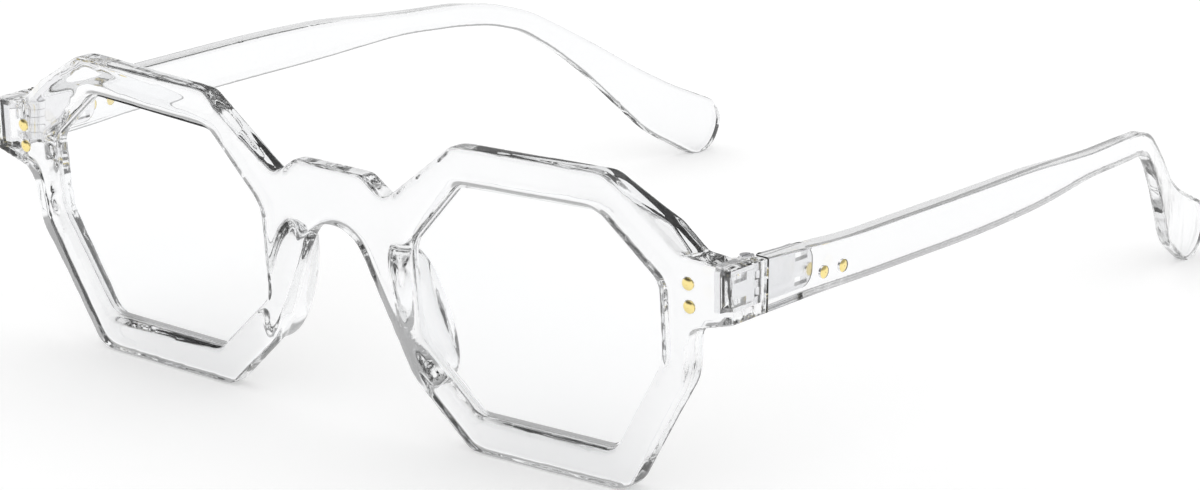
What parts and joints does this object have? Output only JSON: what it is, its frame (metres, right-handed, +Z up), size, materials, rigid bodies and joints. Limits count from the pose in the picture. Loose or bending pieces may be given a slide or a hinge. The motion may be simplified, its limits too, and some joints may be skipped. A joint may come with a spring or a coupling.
{
  "type": "eyeglasses",
  "caption": "Clear-framed octagonal eyeglasses with a stepped bridge, nose pads behind the rims, gold studs and temples that fold on metal hinges.",
  "frame": {"origin": "below the middle of the whole at rest, at the height of what it stands on, temples open", "axes": "+X to the wearer's left, +Y from the front to the ears, +Z up; the front stands on the flat undersides of its rims and the temples on their tips"},
  "size_m": [0.133, 0.1521, 0.0441],
  "materials": {
    "clear_frame": "clear, polished",
    "lens": "clear, polished",
    "gold_stud": "polished gold",
    "hinge_metal": "bright, fine grain",
    "screw_steel": "bright"
  },
  "bodies": {
    "front_frame": {"front": "clear_frame", "lens_left": "lens", "lens_right": "lens", "nose_pad_left": "clear_frame", "nose_pad_right": "clear_frame", "front_leaf_left": "hinge_metal", "front_leaf_right": "hinge_metal", "hinge_screw_left": "screw_steel", "hinge_screw_right": "screw_steel", "front_stud_upper_left": "gold_stud", "front_stud_lower_left": "gold_stud", "front_stud_upper_right": "gold_stud", "front_stud_lower_right": "gold_stud"},
    "left_temple": {"temple_left": "clear_frame", "temple_leaf_left": "hinge_metal", "temple_stud_front_left": "gold_stud", "temple_stud_rear_left": "gold_stud"},
    "right_temple": {"temple_right": "clear_frame", "temple_leaf_right": "hinge_metal", "temple_stud_front_right": "gold_stud", "temple_stud_rear_right": "gold_stud"}
  },
  "joints": [
    {"name": "left_temple_fold", "type": "hinge", "parent": "front_frame", "child": "left_temple", "pos_m": [0.06201, -0.06507, 0.031], "axis": [0, 0, 1], "range_deg": [0, 84]},
    {"name": "right_temple_fold", "type": "hinge", "parent": "front_frame", "child": "right_temple", "pos_m": [-0.06201, -0.06507, 0.031], "axis": [0, 0, -1], "range_deg": [0, 72]}
  ]
}
